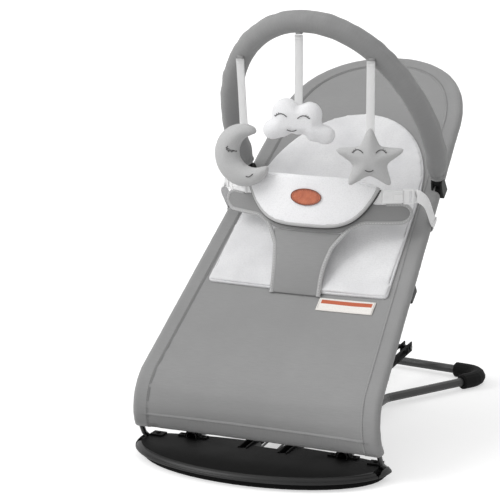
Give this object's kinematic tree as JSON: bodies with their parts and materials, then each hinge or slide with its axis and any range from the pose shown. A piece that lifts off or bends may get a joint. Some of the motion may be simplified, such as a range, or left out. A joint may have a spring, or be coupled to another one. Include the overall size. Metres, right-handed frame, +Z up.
{
  "type": "baby bouncer",
  "caption": "Reclining fabric baby bouncer on a wire frame, hinged to a flat base plate with a folding floor frame, waist harness and a padded toy bar with hanging toys.",
  "frame": {"origin": "on the floor under the seat's hinge line, in the middle of the base pad's underside", "axes": "+X across the seat, +Y towards the head end, +Z up; the foot end and the base plate's long curve face -Y"},
  "size_m": [0.402, 0.6995, 0.6513],
  "materials": {
    "plate_plastic": "fine moulded texture, black",
    "foot_rubber": "matt black",
    "frame_steel": "semi-gloss black powder coat",
    "wire_steel": "black coated wire",
    "small_steel": "black",
    "clip_plastic": "moulded black",
    "roller_plastic": "natural white",
    "grey_cloth": "plain weave, mid grey",
    "pale_cloth": "soft knit, off white",
    "tag_cloth": "woven, off white with one plain rust band",
    "patch_leather": "plain terracotta",
    "webbing": "white woven tape",
    "buckle_plastic": "white",
    "grey_plush": "short pile plush, light grey",
    "pale_plush": "short pile plush, off white"
  },
  "bodies": {
    "base": {"base_plate": "plate_plastic", "base_pad": "foot_rubber", "floor_tube_left": "frame_steel", "floor_tube_right": "frame_steel", "rear_leg": "frame_steel", "corner_foot_left": "foot_rubber", "corner_foot_right": "foot_rubber", "pin_cap_left": "clip_plastic", "pin_cap_right": "clip_plastic", "cap_screw_left": "small_steel", "cap_screw_right": "small_steel", "tube_strap_left": "small_steel", "tube_strap_right": "small_steel", "rail_pin": "small_steel"},
    "rails": {"rail_left": "frame_steel", "rail_right": "frame_steel", "rail_tie": "small_steel", "rail_bridge": "clip_plastic", "bounce_spring": "wire_steel"},
    "seat": {"side_wire_left": "wire_steel", "side_wire_right": "wire_steel", "head_arch": "wire_steel", "wire_connector_left": "clip_plastic", "wire_connector_right": "clip_plastic", "hem_bar": "wire_steel", "cross_rod": "frame_steel", "rod_clip_left": "clip_plastic", "rod_clip_right": "clip_plastic", "seat_cover": "grey_cloth", "seat_insert": "pale_cloth", "sewn_tag": "tag_cloth", "crotch_stem": "grey_cloth", "waist_band": "grey_cloth", "bib_pad": "pale_cloth", "leather_patch": "patch_leather", "buckle_left": "buckle_plastic", "buckle_right": "buckle_plastic", "harness_strap_left": "webbing", "harness_strap_right": "webbing", "toy_clip_left": "clip_plastic", "toy_clip_right": "clip_plastic"},
    "stay": {"stay_arm_left": "frame_steel", "stay_arm_right": "frame_steel", "foot_rod": "small_steel", "foot_roller_left": "roller_plastic", "foot_roller_right": "roller_plastic"},
    "catch": {"recline_catch": "clip_plastic"},
    "toy_bar": {"toy_bar_tube": "wire_steel", "toy_bar_sleeve": "grey_cloth", "toy_bar_plug_left": "clip_plastic", "toy_bar_plug_right": "clip_plastic"},
    "star": {"star_ribbon": "webbing", "star_toy": "grey_plush"},
    "cloud": {"cloud_ribbon": "webbing", "cloud_toy": "pale_plush"},
    "moon": {"moon_ribbon": "webbing", "moon_toy": "grey_plush"},
    "button_left": {"buckle_button_left": "buckle_plastic"},
    "button_right": {"buckle_button_right": "buckle_plastic"}
  },
  "joints": [
    {"name": "seat_bounce", "type": "hinge", "parent": "base", "child": "rails", "pos_m": [0, 0.006, 0.014], "axis": [1, 0, 0], "range_deg": [-2.5, 1], "stiffness_Nm_per_rad": 330, "springref_deg": 1.23},
    {"name": "seat_recline", "type": "hinge", "parent": "rails", "child": "seat", "pos_m": [0, 0.006, 0.014], "axis": [1, 0, 0], "range_deg": [-30, 0]},
    {"name": "stay_fold", "type": "hinge", "parent": "seat", "child": "stay", "pos_m": [0, 0.1592, 0.23633], "axis": [1, 0, 0], "range_deg": [-1, 61]},
    {"name": "catch_squeeze", "type": "hinge", "parent": "stay", "child": "catch", "pos_m": [0, 0.34185, 0.03748], "axis": [1, 0, 0], "range_deg": [0, 18], "stiffness_Nm_per_rad": 0.3, "springref_deg": -11.46},
    {"name": "toy_bar_tilt", "type": "hinge", "parent": "seat", "child": "toy_bar", "pos_m": [0, 0.30368, 0.37886], "axis": [1, 0, 0], "range_deg": [-50, 0]},
    {"name": "star_swing", "type": "hinge", "parent": "toy_bar", "child": "star", "pos_m": [0.102, 0.15756, 0.58017], "axis": [1, 0, 0], "range_deg": [-30, 3]},
    {"name": "cloud_swing", "type": "hinge", "parent": "toy_bar", "child": "cloud", "pos_m": [-0.00537, 0.14068, 0.61548], "axis": [1, 0, 0], "range_deg": [-30, 25]},
    {"name": "moon_swing", "type": "hinge", "parent": "toy_bar", "child": "moon", "pos_m": [-0.11, 0.16259, 0.57185], "axis": [1, 0, 0], "range_deg": [-30, 0.5]},
    {"name": "button_press_left", "type": "slide", "parent": "seat", "child": "button_left", "axis": [0.4641, 0.8858, 0], "range_m": [0, 0.0018], "stiffness_N_per_m": 700, "springref_m": -0.0005},
    {"name": "button_press_right", "type": "slide", "parent": "seat", "child": "button_right", "axis": [-0.4641, 0.8858, 0], "range_m": [0, 0.0018], "stiffness_N_per_m": 700, "springref_m": -0.0005}
  ],
  "couplings": [
    {"joint": "stay_fold", "follows": "seat_recline", "ratio": -2}
  ]
}
